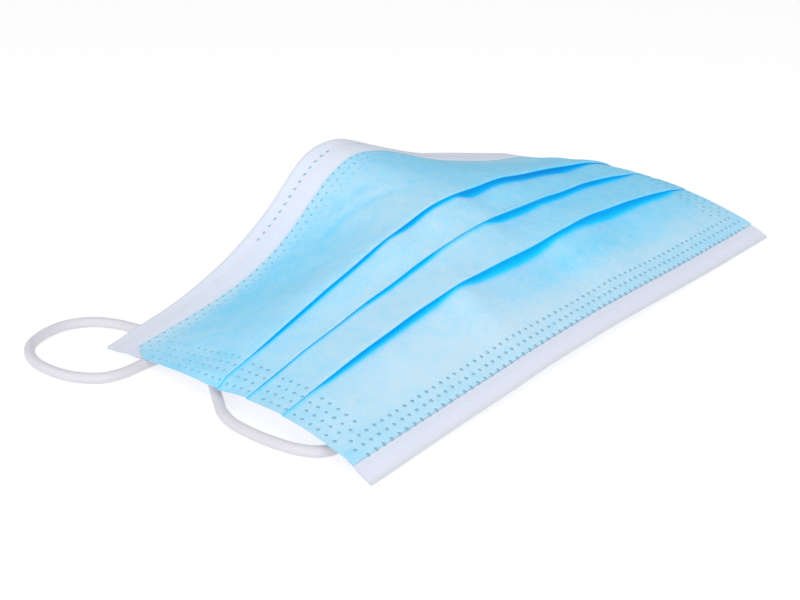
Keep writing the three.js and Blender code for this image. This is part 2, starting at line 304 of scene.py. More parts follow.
# %% Lines of the mask
CHIN_WIDTH, NOSE_WIDTH = 175.0, 164.0
HALF_CHIN = CHIN_WIDTH / 2
CHIN_SEAM, NOSE_SEAM = 5.2, 82.0
FOLDS = (26.5, 38.0, 48.0)
ACROSS = np.linspace(-1, 1, 21)
LINES = {
    0.0: [0.6, 1.0, 1.4, 1.7, 2.0, 2.2, 2.5, 2.9, 3.0, 3.0, 3.0,
          2.8, 2.5, 2.2, 1.9, 1.6, 1.3, 1.1, 1.0, 0.9, 0.7],
    8.0: [3.7, 4.5, 4.9, 5.3, 5.7, 6.0, 6.3, 6.6, 6.8, 6.9, 6.9,
          6.8, 6.6, 6.4, 6.1, 5.8, 5.6, 5.4, 5.2, 4.9, 4.5],
    26.5: [6.2, 8.3, 10.3, 11.8, 13.4, 14.5, 15.6, 16.5, 16.6, 16.7, 16.7,
           16.6, 17.2, 17.5, 17.2, 16.6, 15.8, 14.8, 13.6, 12.0, 9.2],
    38.0: [6.1, 8.5, 10.6, 12.4, 14.4, 16.1, 17.6, 19.1, 20.6, 21.7, 22.2,
           21.8, 21.6, 21.2, 20.7, 20.0, 19.2, 18.2, 16.7, 14.6, 10.6],
    48.0: [5.8, 8.2, 11.2, 13.9, 16.2, 18.7, 21.2, 23.6, 25.3, 26.7, 27.2,
           26.9, 26.7, 25.4, 24.2, 23.0, 21.9, 20.1, 18.3, 15.4, 10.5],
    65.0: [3.7, 5.3, 7.3, 9.1, 11.0, 13.0, 16.2, 19.8, 24.0, 27.3, 28.7,
           28.0, 26.7, 24.4, 22.4, 20.7, 19.3, 17.9, 16.7, 14.0, 8.0],
    82.0: [1.9, 2.8, 3.8, 5.0, 6.4, 8.6, 11.9, 16.8, 23.1, 28.5, 30.7,
           29.6, 27.1, 23.8, 20.9, 18.9, 17.0, 15.5, 14.6, 12.3, 5.0],
    90.0: [0.6, 2.5, 3.7, 5.6, 8.3, 11.6, 16.1, 21.4, 28.7, 33.1, 33.4,
           30.8, 27.4, 24.4, 21.6, 20.0, 18.3, 16.4, 14.6, 11.5, 0.9],
}
# How far the nose edge reaches from the chin edge, at the same places.
REACH = [90.0] * 11 + [89.7, 89.2, 87.9, 86.5, 84.8, 83.0, 81.6, 80.2, 79.2, 78.5]


def smooth_through(knots, values, x):
    """Monotone cubic through values at knots; values may hold one column for each x."""
    knots, values, x = np.asarray(knots, float), np.asarray(values, float), np.asarray(x, float)
    if values.ndim == 1:
        values = np.broadcast_to(values[:, None], (len(knots), x.size))
    steps = np.diff(knots)[:, None]
    slope = np.diff(values, axis=0) / steps
    before, after = np.vstack([slope[:1], slope]), np.vstack([slope, slope[-1:]])
    together = before * after > 0
    tangent = np.where(together, 2 * before * after / np.where(together, before + after, 1), 0)
    i = np.clip(np.searchsorted(knots, x, side="right") - 1, 0, len(knots) - 2)
    column = np.arange(x.size)
    span = knots[i + 1] - knots[i]
    t = (x - knots[i]) / span
    rise = values[i, column] + (values[i + 1, column] - values[i, column]) * t * t * (3 - 2 * t)
    return rise + span * t * (1 - t) * (tangent[i, column] * (1 - t) - tangent[i + 1, column] * t)


print("lines of the mask:", len(LINES), "with", len(ACROSS), "places each")

# %% [markdown]
# The panel was rumpled by handling, so the surface also gets a few soft swells. They are sums of sines with
# fixed phases: no noise seed is needed and the shape is the same on every run. Three soft creases behind the
# top fold are laid where the photograph shows them.

# %% Swells and creases
CREASES = [((-29, 67.5), (-21, 67.8)), ((-21, 67.8), (-9.5, 62.2)), ((-18, 72.3), (-10.8, 70.3))]
CREASE_DEPTH, CREASE_SPREAD = 0.2, 2.6


def crease(x, v):
    """One on a soft crease of the top run, fading to nothing three millimetres away."""
    deepest = np.zeros(np.broadcast(x, v).shape)
    for (x0, v0), (x1, v1) in CREASES:
        dx, dv = x1 - x0, v1 - v0
        along = np.clip(((x - x0) * dx + (v - v0) * dv) / (dx ** 2 + dv ** 2), 0, 1)
        away = (x - x0 - along * dx) ** 2 + (v - v0 - along * dv) ** 2
        deepest = np.maximum(deepest, np.exp(-away / CREASE_SPREAD))
    return deepest


def swells(x, v):
    soft = 0.16 * np.sin(x / 6.1 + 0.9 * np.sin(v / 9.0) + 0.4) * np.sin(v / 5.3 + 1.3)
    soft += 0.12 * np.sin(x / 3.4 - v / 7.0 + 2.0) * np.sin(v / 3.9 + x / 23)
    inside = np.clip((HALF_CHIN - np.abs(x)) / 12, 0, 1)
    inside = inside * np.clip((v - 14) / 8, 0, 1) * np.clip((80 - v) / 6, 0, 1)
    return soft * inside - CREASE_DEPTH * crease(x, v)


rumple = swells(np.array([-40, 0, 40]), np.full(3, 65))
print("swells on the top run, mm:", np.round(rumple, 2))

# %% [markdown]
# A point of the cloth is named by u, its share of the half width, v, its distance from the chin edge, and its
# depth below the outer face, which the local slope turns into a drop. The stiff welded edge at the left curls
# down a little beside the pleats. The right nose corner is hidden in the photograph, and droops to the table.

# %% Points on the surface
CURL, CURL_PLACE, CURL_REACH = 1.2, 50, 8.5
DROOP, TIP_LIFT = 5.0, 0.26


def half_width(v):
    return (CHIN_WIDTH + (NOSE_WIDTH - CHIN_WIDTH) * v / LENGTH) / 2


def height_at(u, v):
    """Height of the outer face: the lines, each rounded across the width, then joined along the length."""
    lines = np.array([
        sum(part * smooth_through(ACROSS, line, np.clip(u + shift, -1, 1))
            for shift, part in ((-0.045, 0.25), (0, 0.5), (0.045, 0.25)))
        for line in LINES.values()
    ])
    curl = CURL * np.exp(-((v - CURL_PLACE) / CURL_REACH) ** 2) * ease((-0.96 - u) / 0.04)
    droop = DROOP * ease((u - 0.865) / 0.07) * (1 - TIP_LIFT * ease((u - 0.94) / 0.06)) * ease((v - 64) / 12)
    return smooth_through(list(LINES), lines, v) + swells(u * HALF_CHIN, v) - curl - droop


def point_at(u, v, depth):
    u, v, depth = (np.asarray(a, float).ravel() for a in np.broadcast_arrays(u, v, depth))
    du, dv = 0.01, 0.5
    right, left = np.minimum(u + du, 1), np.maximum(u - du, -1)
    back, front = np.minimum(v + dv, LENGTH), np.maximum(v - dv, 0)
    slope_x = (height_at(right, v) - height_at(left, v)) / ((right - left) * half_width(v))
    slope_y = (height_at(u, back) - height_at(u, front)) / (back - front)
    z = height_at(u, v) - depth * np.sqrt(1 + slope_x ** 2 + slope_y ** 2)
    high = FOLDS[-1]
    pulled = (smooth_through(ACROSS, REACH, u) - high) / (LENGTH - high)
    y = np.where(v <= high, v, high + (v - high) * pulled)
    return np.stack([u * half_width(v), y - LENGTH / 2, z], 1)


peak = height_at(np.linspace(-1, 1, 201), np.full(201, LENGTH))
print("the nose edge peaks at", round(peak.max(), 1), "mm")

# %% [markdown]
# ## Weld dots, as a plan
# The plies are joined by ultrasonic welds, dots about a millimetre wide. Three staggered rows run along
# each hem, four columns along each short side, and a row of short dashes, spaced along the bent edge, holds
# the nose wire in its lane. The plan comes before the cloth, because the cloth dips at every dot.

# %% Plan of the weld dots
PITCH = 2.5
SEAM_ROWS = (5.4, 7.8, 10.2)
NOSE_ROWS = {81.2: 0.8, 78.8: 0.7, 76.4: 0.5}
SIDE_COLUMNS = (1.875, 4.375, 6.875, 9.375)
ROW_REACH = 85
WIRE_ROW, WIRE_REACH, OVER_BEND = 87.0, 36, 5
DASH_WIDTH, DASH_STRETCH = 0.5, 2.5


def spaced_on(v, reach, first=0.0):
    """Places across the mask that are a pitch apart along the bent line at v, out to reach each way."""
    x = np.linspace(0, reach, 300)
    places = []
    for side in (-1, 1):
        z = height_at(side * x / HALF_CHIN, np.full(300, v))
        run = np.hypot(np.diff(x) * half_width(v) / HALF_CHIN, np.diff(z))
        arc = np.concatenate([[0], np.cumsum(run)])
        steps = np.arange(first if side > 0 else (PITCH - first), arc[-1], PITCH)
        places += list(side * np.interp(steps, arc, x))
    return places


# Each dot: its place across and along in mm, its width, its stretch along the hem, and how hard it is pressed.
plan = []
for i, v in enumerate(SEAM_ROWS):
    plan += [(x, v, 1.0, 1.0, 1.0) for x in spaced_on(v, ROW_REACH, PITCH / 2 * (i % 2))]
for i, (v, size) in enumerate(NOSE_ROWS.items()):
    plan += [(x, v, size, 1.0, size) for x in spaced_on(v, ROW_REACH, PITCH / 2 * (i % 2))]
for i, inset in enumerate(SIDE_COLUMNS):
    for v in np.arange(12.4 + 1.2 * (i % 2), 76, 2.45):
        if min(abs(v - fold + 0.3) for fold in FOLDS) > 0.8:
            pressed = 0.95 - 0.6 * max(0, (v - 40) / 36)
            size = 0.6 + 0.35 * pressed
            plan += [(side * (HALF_CHIN - inset), v, size, 1.0, pressed) for side in (-1, 1)]
dashes = [x for x in spaced_on(WIRE_ROW, WIRE_REACH, 0.8 * PITCH) if abs(x) > OVER_BEND]
plan += [(x, WIRE_ROW, DASH_WIDTH, DASH_STRETCH, 1.0) for x in dashes]
plan = np.array(plan)
print("weld dots planned:", len(plan), "of which dashes:", len(dashes))

# %% [markdown]
# ## Spunbond cloth
# All plies are spunbond polypropylene: endless fibres about 20 micrometres thick, laid at random and bonded
# by heated points. The eye sees a matt, slightly silky cloth whose thickness varies in clouds a few
# millimetres wide, so the blue is mottled between pale and clear sky blue. Deep in the pleats, where a fold
# closes over the cloth, shade and light bounced from blue to blue are painted into the colour as a strong
# azure, with a faint painted glow. Fibres far finer than a pixel are drawn about
# 0.7 mm apart so that they show.

# %% Spunbond finishes
PAINTED_GLOW = 0.16


def spunbond(name, pale, clear, painted_shade_colour):
    finish, tree = new_finish(name)
    where = add_node(tree, "ShaderNodeUVMap", uv_map="cut")
    cloud = add_node(tree, "ShaderNodeTexNoise", {
        "Vector": where.outputs[0], "Scale": DECIMETRE / 4.5, "Detail": 5.0, "Roughness": 0.65,
    })
    felt = add_node(tree, "ShaderNodeTexNoise", {
        "Vector": where.outputs[0], "Scale": DECIMETRE / 1.1,
        "Detail": 4.0, "Roughness": 0.7, "Distortion": 1.5,
    })
    fibre = add_node(tree, "ShaderNodeTexVoronoi", {
        "Vector": where.outputs[0], "Scale": DECIMETRE / 0.7, "Randomness": 1.0,
    }, feature="DISTANCE_TO_EDGE")
    wash = add_node(tree, "ShaderNodeAttribute", attribute_name="wash")
    mottle = add_node(tree, "ShaderNodeMix", {
        0: 0.55, 2: cloud.outputs["Fac"], 3: felt.outputs["Fac"],
    }, data_type="FLOAT")
    uneven = add_node(tree, "ShaderNodeMapRange", {
        "Value": mottle.outputs[0], "From Min": 0.3, "From Max": 0.7, "To Min": -0.42, "To Max": 0.42,
    })
    share = add_node(tree, "ShaderNodeMath", {
        0: wash.outputs["Fac"], 1: uneven.outputs[0],
    }, operation="ADD", use_clamp=True)
    laid = add_node(tree, "ShaderNodeMix", {
        0: share.outputs[0], 6: linear(clear), 7: linear(pale),
    }, data_type="RGBA")
    # Where shade and glow are painted: the pleat mouths on the blue and the free edges of the hems on the
    # white.
    folded = add_node(tree, "ShaderNodeAttribute", attribute_name="painted_shade_and_glow")
    colour = add_node(tree, "ShaderNodeMix", {
        0: folded.outputs["Fac"], 6: laid.outputs[2], 7: linear(painted_shade_colour),
    }, data_type="RGBA")
    relief = add_node(tree, "ShaderNodeMath", {
        0: felt.outputs["Fac"], 1: fibre.outputs["Distance"],
    }, operation="ADD")
    bump = add_node(tree, "ShaderNodeBump", {
        "Height": relief.outputs[0], "Strength": 0.25, "Distance": 0.15 * MM,
    })
    # Painted glow: the painted shade colour is also given off faintly as light wherever that mark lies.
    painted_glow_strength = add_node(tree, "ShaderNodeMath", {0: folded.outputs["Fac"], 1: PAINTED_GLOW}, operation="MULTIPLY")
    skin = add_node(tree, "ShaderNodeBsdfPrincipled", {
        "Base Color": colour.outputs[2], "Normal": bump.outputs[0], "Roughness": 0.85,
        "IOR": 1.49, "Specular IOR Level": 0.25, "Sheen Weight": 0.06, "Sheen Roughness": 0.4,
        "Emission Color": linear(painted_shade_colour), "Emission Strength": painted_glow_strength.outputs[0],
    })
    add_node(tree, "ShaderNodeOutputMaterial", {"Surface": skin.outputs[0]})
    print("finish:", name)
    return finish


# The last colour of each is its painted shade colour: azure in the pleat mouths, grey at the hems' edges.
blue_spunbond = spunbond("blue_spunbond_polypropylene", "#BEDDEE", "#7DD3F7", "#00C8F0")
white_spunbond = spunbond("white_spunbond_polypropylene", "#E1E6EF", "#D6DCEA", "#BFC4CA")

# %% [markdown]
# ## A folded sheet
# A sheet is described by its middle layer: rows of points that follow the cloth through every fold. The
# normals of that grid push an outer and an inner face half a thickness each way, so the wall keeps its
# thickness round a fold, and rims close the cut edges. A Solidify modifier could do this too, but here the
# thickness may change from place to place, as it does where a weld has pressed the plies together.

# %% Sheet helper
OFF_TABLE = 0.02


def folded_sheet(name, middle, thickness, flat, outer_finish, inner_finish):
    rows, columns = middle.shape[:2]
    normal = np.cross(np.gradient(middle, axis=1), np.gradient(middle, axis=0))
    normal /= np.linalg.norm(normal, axis=2, keepdims=True)
    half = normal * (thickness / 2)[..., None]
    points = np.vstack([(middle + half).reshape(-1, 3), (middle - half).reshape(-1, 3)])
    points[:, 2] = np.maximum(points[:, 2], OFF_TABLE)
    outer = grid_faces(rows, columns)
    inner = grid_faces(rows, columns, rows * columns)[:, ::-1]
    top = np.arange(rows * columns).reshape(rows, columns)
    border = np.concatenate([top[0, :-1], top[:-1, -1], top[-1, :0:-1], top[:0:-1, 0]])
    following = np.roll(border, -1)
    rim = np.stack([border, border + rows * columns, following + rows * columns, following], 1)
    faces = np.vstack([outer, inner, rim])
    finish = np.concatenate([np.zeros(len(outer)), np.ones(len(inner)), np.zeros(len(rim))])
    flat = np.vstack([flat.reshape(-1, 2)] * 2)
    return make_piece(name, points, faces.tolist(), [outer_finish, inner_finish], flat, finish)

# %% [markdown]
# ## The pleated panel
# The panel is one sheet. Each pleat is a Z: the lower run goes on under the fold, turns back, turns again at
# the visible fold and becomes the next run. The pleats are welded shut at both short sides, where the horn
# pressed every ply thin, and gape in between. The table gives how far, read from the azure band under each
# fold, and each band ends at a tip short of the right side.

# %% Pleat measures
PLEAT_DEPTH = 8.5
columns = np.linspace(-1, 1, 251)
GAPE = {
    26.5: [0, 0.1, 0.7, 1.2, 1.4, 1.6, 1.3, 0.4, 1.6, 2.1, 2.4,
           2.1, 1.1, 1.4, 2.2, 2.5, 2.2, 1.6, 1.3, 0.6, 0],
    38.0: [0, 0.15, 0, 0.05, 0.15, 0.45, 0.55, 0.75, 0.2, 0.1, 0.2,
           1.5, 1.6, 1.2, 1.25, 1.2, 1.2, 0.95, 0.4, 0, 0],
    48.0: [0, 0, 0.35, 0.55, 0.6, 0.6, 0.65, 0.3, 1.15, 0.7, 0.5,
           2.2, 1.6, 1.45, 1.6, 1.6, 1.75, 1.0, 0.1, 0, 0],
}
TIPS = {26.5: 0.94, 38.0: 0.88, 48.0: 0.83}
STARTS = (CHIN_SEAM,) + FOLDS
LOOSE_PLY, WELDED_LEFT, WELDED_RIGHT = 0.3, 0.15, 0.1
loose = ease((0.98 - np.abs(columns)) / 0.2)
welded_ply = np.where(columns < 0, WELDED_LEFT, WELDED_RIGHT)
PLY = welded_ply + (LOOSE_PLY - welded_ply) * loose
LAYER = PLY + 0.03 + 0.05 * loose
print("laminate is", round(PLY.min(), 2), "mm thick at the sides and", round(PLY.max(), 2), "mm between")

# %% [markdown]
# Four small rules turn those measures into cloth: how far a mouth gapes at a place, how strongly its painted
# azure shade shows, where its band ends, and how deep a run's outer face lies below the surface.

# %% Pleat rules
def gape(u, fold):
    return smooth_through(ACROSS, GAPE[fold], u)


def painted_mouth_shade(u, fold):
    """How strongly a mouth is painted with azure shade and glow: fully where it gapes."""
    return 0.55 + 0.45 * ease(gape(u, fold) / 0.5)


def before_tip(u, fold):
    return ease((TIPS[fold] - u) / 0.06)


def run_depth(u, run, v):
    """Depth of a run's outer face: it sinks from its own fold to the mouth of the next pleat."""
    if run == len(FOLDS):
        return np.zeros_like(u)
    fold, start = FOLDS[run], STARTS[run]
    step = 2 * LAYER + gape(u, fold)
    if v <= fold:
        return step * (v - start) / (fold - start)
    return run_depth(u, run + 1, v) + step


print("mouths in the middle gape", [round(gape(np.zeros(1), fold)[0], 1) for fold in FOLDS], "mm")

# %% [markdown]
# The sheet is a list of rows from the chin seam to the nose seam. Each row has a place along the mask, a depth,
# the painted azure shade that it carries and whether a fold hides it. After a run come the layer under the
# fold, a half turn, the layer that comes back and the half turn that shows as the fold. Cloth physics could
# fold a flat sheet, but rows keep every fold on its line in the photograph.

# %% Rows of the panel
WELDED_STRETCHES = ((5, 11.6), (75.5, 83))
MOUTH, MOUTH_SHADE_FADE = 1.7, 1.1
UNDER = (0.8, 1.8, 3.4, 5.8)


def visible_rows(start, end):
    """Places along a run, closer together in the welded stretches and at its mouth."""
    fine = WELDED_STRETCHES + ((end - MOUTH, end),)
    places = [start]
    while places[-1] < end - 0.3:
        near = any(low <= places[-1] <= high for low, high in fine)
        places.append(min(places[-1] + (0.6 if near else 1.0), end))
    return places


turn = np.linspace(0, np.pi, 7)
LEAD = 0.4
rows = []


def add_row(place, depth, tint, hidden=False):
    rows.append([np.broadcast_to(value, columns.shape) for value in (place, depth, tint, hidden)])


# A mouth's painted azure shade is full on the hidden layers, fades in over the last stretch of the run before
# the fold, and ends at the band's tip.
for run, start in enumerate(STARTS):
    last = run == len(FOLDS)
    end = NOSE_SEAM if last else FOLDS[run]
    azure = 0 if last else painted_mouth_shade(columns, end)
    mouth_shade_to_tip = 0 if last else azure * before_tip(columns, end)
    for v in visible_rows(start + (LEAD if run else 0), end):
        add_row(v, run_depth(columns, run, v), mouth_shade_to_tip * max(0, (v - end + MOUTH_SHADE_FADE) / MOUTH_SHADE_FADE))
    if last:
        break
    for out in UNDER + (PLEAT_DEPTH - LEAD,):
        add_row(end + out, run_depth(columns, run, end + out), azure, hidden=True)
    inner_end = run_depth(columns, run, end + PLEAT_DEPTH)
    for a in turn[1:-1]:
        place = end + PLEAT_DEPTH - LEAD + LAYER / 2 * np.sin(a)
        add_row(place, inner_end - LAYER / 2 * (1 - np.cos(a)), azure, hidden=True)
    for back in (PLEAT_DEPTH - LEAD,) + UNDER[:0:-1] + (LEAD,):
        depth = run_depth(columns, run + 1, end + back) + LAYER + gape(columns, end) * back / PLEAT_DEPTH
        add_row(end + back, depth, azure, hidden=True)
    for a in turn[1:-1]:
        depth = (LAYER / 2 + gape(columns, end) * LEAD / PLEAT_DEPTH / 2) * (1 + np.cos(a))
        add_row(end + LEAD - (LAYER / 2 + 0.02) * np.sin(a), depth, mouth_shade_to_tip * (1 - ease((a - 0.7) / 1.2)))

print("panel rows along the cut:", len(rows), "and columns across:", len(columns))

# %% [markdown]
# The blue isn't even. It looks palest where the cloth lies close over the white plies: above the chin welds,
# along the nose welds, on the left half of the pleats and along the crown of the bend. A few soft patches of
# pale share, added up on a clear ground, are carried on the cloth as an attribute that the finish reads; the
# clearer blue along the creases and under the lowest fold is painted shade. Vertex paint would do as well, but
# patches in millimetres can be read and moved.

# %% Pale patches of the blue
CLEAR_GROUND, CREASE_PAINTED_SHADE = 0.06, 0.25
# Place across and along, reach across and along, all in mm, and the pale share that the patch adds.
PALE_PATCHES = {
    "left half of the pleats": (-47, 31, 62, 26, 0.67),
    "band above the chin welds": (23, 13, 140, 10, 0.7),
    # A painted shadow: clearer blue where the lowest fold shades the run below it.
    "painted shadow under the lowest fold": (16, 19, 50, 5, -0.52),
    "crown of the bend": (-12, 70, 15, 28, 0.48),
    "right nose corner": (59, 79, 27, 11, 0.45),
    "left nose corner": (-80, 75, 14, 16, 0.36),
    "pressed band along the nose welds": (-58, 82, 38, 4, 0.7),
}


def paleness(u, v):
    # Along the creases the blue is made clearer, as painted shade.
    share = CLEAR_GROUND - CREASE_PAINTED_SHADE * crease(u * half_width(v), v)
    for x, place, wide, long, amount in PALE_PATCHES.values():
        along = np.clip(v, 8, NOSE_SEAM) - place
        share = share + amount * np.exp(-((u * HALF_CHIN - x) / wide) ** 2 - (along / long) ** 2)
    return share


runs = np.array([16, 32, 43, 65])
print("pale share in the middle of each run:", np.round(paleness(np.zeros(4), runs), 2))

# %% [markdown]
# Now the rows become cloth. The panel's corners were cut back at the nose hem, every weld dot presses a small
# dimple, and the sheet thins to half along the two hem seams, where the horn ran over it.

# %% Pleated panel
CORNER_CUT = 6.5
DIMPLE_REACH, DIMPLE_DEPTH = 1.6, 0.12


def carry(mesh, name, values):
    """Give every point of a mesh a number that a finish or a node tree can read."""
    numbers = np.asarray(values, np.float32).ravel()
    mesh.attributes.new(name, "FLOAT", "POINT").data.foreach_set("value", numbers)


row_places, row_depths, painted_shade_and_glow, hidden = (np.array(part, float) for part in zip(*rows))
across = columns * (1 - 0.006 * hidden)
corner_cut = CORNER_CUT * np.clip((np.abs(columns) - 0.955) / 0.045, 0, 1)
row_places = row_places - corner_cut * ease((row_places - 70) / 12)

pressed = np.zeros_like(row_places)
for x, v, size, _, _ in plan:
    close_rows = np.where(np.abs(row_places[:, 0] - v) < DIMPLE_REACH)[0]
    close_columns = np.where(np.abs(columns * HALF_CHIN - x) < DIMPLE_REACH)[0]
    near = np.ix_(close_rows, close_columns)
    away = (across[near] * HALF_CHIN - x) ** 2 + (row_places[near] - v) ** 2
    pressed[near] = np.maximum(pressed[near], np.exp(-away / (0.75 * size) ** 2))
pressed *= 1 - hidden
hem = sum(np.clip(1 - np.abs(row_places - seam), 0, 1) for seam in (CHIN_SEAM, NOSE_SEAM))
thickness = PLY * (1 - 0.5 * np.clip(hem, 0, 1))
depth = row_depths + thickness / 2 + DIMPLE_DEPTH * pressed
middle = point_at(across, row_places, depth).reshape(len(rows), len(columns), 3)
along_cut = np.linalg.norm(np.diff(middle, axis=0), axis=2).mean(1)
cut_length = np.concatenate([[0], np.cumsum(along_cut)])
flat = np.stack([across * HALF_CHIN, np.repeat(cut_length[:, None], len(columns), 1)], -1)
panel = folded_sheet("blue_pleated_panel", middle, thickness, flat, blue_spunbond, white_spunbond)
inner_face = np.zeros(painted_shade_and_glow.size)
# The pleat mouths' painted shade and glow go on the outer face only.
carry(panel.data, "painted_shade_and_glow", np.concatenate([painted_shade_and_glow.ravel(), inner_face]))
carry(panel.data, "wash", np.concatenate([paleness(across.ravel(), row_places.ravel()), inner_face]))
print("the panel's cut is", CHIN_WIDTH, "by", round(cut_length[-1], 1), "mm")

# %% [markdown]
# ## White hems
# The white inner ply wraps round the nose and chin edges and is caught under the blue panel by the welds.
# Each hem is a J in section: a bottom layer, a soft turn at the free edge and a top layer that runs on
# under the panel. The nose hem also holds the wire, so its two layers part there and make the raised lane.
# The turn at the free edge shows as a thin grey line of shade, and the lane falls away from the light towards
# the dashes; both are painted onto the hem with the same attribute that paints the shade in the pleats.

# %% Chin hem
HEM_PLY = 0.28
HEM_LAYER = 0.4
HEM_TURN = 0.35
LAP = 3.5
EDGE_SHADE_REACH, DASH_SHADE = 1.1, 0.2


def chin_depth(v):
    under = 0.3 * ease((v - 3) / 2) + 0.25 * ease((v - CHIN_SEAM) / 1.2)
    return HEM_PLY / 2 + under * (0.6 + 0.4 * loose) + run_depth(columns, 0, max(v, CHIN_SEAM))


chin_bottom = (7.5, 6.7, 6, 5.2, 4.4, 3.6, 2.8, 2.1, 1.4, 0.8, HEM_TURN)
chin_top = (HEM_TURN, 0.8, 1.4, 2, 2.6, 3.1, 3.6, 4.1, 4.6, 5, 5.4, 5.8, 6.3, 6.9, 7.8, CHIN_SEAM + LAP)
chin_turn = HEM_LAYER / 2 * (1 + np.cos(turn[1:-1]))
chin_rows = [(v, chin_depth(v) + HEM_LAYER, 0) for v in chin_bottom]
chin_rows += [
    (HEM_TURN - HEM_LAYER / 2 * np.sin(a), HEM_PLY / 2 + low, HEM_LAYER - low)
    for a, low in zip(turn[1:-1], chin_turn)
]
chin_rows += [(v, chin_depth(v), HEM_LAYER) for v in chin_top]


def painted_edge_shade(places):
    """Painted shade on a hem: most where it turns round its free edge, a little beside the dashes, where the
    lane falls away from the light.
    """
    from_edge = np.minimum(places, LENGTH - places)
    beside_dashes = DASH_SHADE * ease((places - 83) / 3.6) * ease((WIRE_ROW + 0.3 - places) / 0.4)
    return np.maximum(ease(1 - from_edge / EDGE_SHADE_REACH), beside_dashes)


def hem_piece(name, hem_rows):
    """A hem from rows of place, depth and the least height that the layer keeps over the table."""
    places = np.array([np.broadcast_to(row[0], columns.shape) for row in hem_rows])
    depths = np.array([np.broadcast_to(row[1], columns.shape) for row in hem_rows])
    lift = np.array([row[2] for row in hem_rows])[:, None]
    places = places - corner_cut * ease((places - 72) / 6) * ease((85 - places) / 6)
    across = columns * (1 - 0.005 * ease((places - 3.5) / 3) * ease((85 - places) / 3))
    middle = point_at(across, places, depths).reshape(*places.shape, 3)
    middle[..., 2] = np.maximum(middle[..., 2], HEM_PLY / 2 + OFF_TABLE + lift)
    steps = np.linalg.norm(np.diff(middle, axis=0), axis=2).mean(1)
    length = np.concatenate([[0], np.cumsum(steps)])
    flat = np.stack([across * HALF_CHIN, np.repeat(length[:, None], len(columns), 1)], -1)
    thickness = np.full(places.shape, HEM_PLY)
    piece = folded_sheet(name, middle, thickness, flat, white_spunbond, white_spunbond)
    # The hem's painted edge shade, which the finish also turns into a faint painted glow.
    carry(piece.data, "painted_shade_and_glow", np.tile(painted_edge_shade(places).ravel(), 2))
    print(name, "is cut", round(length[-1], 1), "mm wide")
    return piece, length[-1]


chin_hem, chin_cut = hem_piece("white_chin_hem", chin_rows)

# %% [markdown]
# The nose hem is folded the same way round. Its two layers part over the lane of the wire, the upper one by a
# fifth of a millimetre, enough to catch the light as a soft ridge beside the row of dashes.

# %% Nose hem
LANE = (84.1, 86.5)
LANE_RISE, LANE_DROP = 0.2, 1.6


def lane_swell(v, across):
    lane = ease((v - LANE[0] + 0.5) / 0.7) * ease((LANE[1] + 0.5 - v) / 0.7)
    return LANE_RISE * lane * ease((0.64 - np.abs(across)) / 0.04)


def nose_depth(v):
    under = 0.3 * ease((83.8 - v) / 1.6) + 0.28 * ease((NOSE_SEAM - v) / 1.4)
    return HEM_PLY / 2 + under * (0.6 + 0.4 * loose)


nose_turn_place = LENGTH - HEM_TURN
nose_top = (
    78.5, 79.5, 80.2, 80.8, 81.4, 82, 82.4, 82.8, 83.2, 83.6, 83.9, 84.3, 84.8,
    85.4, 86, 86.4, 86.7, 87, 87.4, 88, 88.6, 89.1, nose_turn_place,
)
nose_bottom = (
    nose_turn_place, 89.1, 88.4, 87.7, 87, 86.6, 86.2, 85.4, 84.6, 84.2, 83.7, 83, 82.2, 81.4, 80.5,
)
nose_turn = HEM_LAYER / 2 * (1 - np.cos(turn[1:-1]))
nose_rows = [(v, nose_depth(v) - lane_swell(v, columns), HEM_LAYER) for v in nose_top]
nose_rows += [
    (nose_turn_place + HEM_LAYER / 2 * np.sin(a), nose_depth(nose_turn_place) + low, HEM_LAYER - low)
    for a, low in zip(turn[1:-1], nose_turn)
]
nose_rows += [(v, nose_depth(v) + HEM_LAYER + LANE_DROP * lane_swell(v, columns), 0) for v in nose_bottom]
nose_hem, nose_cut = hem_piece("white_nose_hem", nose_rows)

# %% [markdown]
# ## Nose wire
# The strip in the nose hem is soft steel wire in white polyethylene, flat, with a low rib along its middle. The
# coating is drawn through a die, so it looks milky and half glossy, with faint streaks along its length. They
# are stretched noise: about 17 mm long and 1 mm wide.

# %% Coated wire finish
coated_wire, tree = new_finish("white_polyethylene_coating")
where = add_node(tree, "ShaderNodeTexCoord")
drawn = add_node(tree, "ShaderNodeMapping", {
    "Vector": where.outputs["Object"], "Scale": (60.0, 900.0, 900.0),
})
streak = add_node(tree, "ShaderNodeTexNoise", {"Vector": drawn.outputs[0], "Scale": 1.0, "Detail": 2.0})
milk = add_node(tree, "ShaderNodeMix", {
    0: streak.outputs["Fac"], 6: linear("#D3D5DA"), 7: linear("#EEEFF2"),
}, data_type="RGBA")
skin = add_node(tree, "ShaderNodeBsdfPrincipled", {
    "Base Color": milk.outputs[2], "Roughness": 0.42, "IOR": 1.51,
})
add_node(tree, "ShaderNodeOutputMaterial", {"Surface": skin.outputs[0]})
print("finish:", coated_wire.name)

# %% [markdown]
# The wire is hidden, but it is what keeps the peak, so it is built all the same: a rounded flat section swept
# along the lane, on the same surface as the hem that holds it.

# %% Nose wire
WIRE_SPAN = 0.6
WIRE_HALF_WIDTH, WIRE_HALF_HEIGHT, WIRE_DEPTH = 0.95, 0.24, 0.41
RIB_SHARE, ROUNDING = 0.15, 0.7


def rounded(wave):
    return np.sign(wave) * np.abs(wave) ** ROUNDING


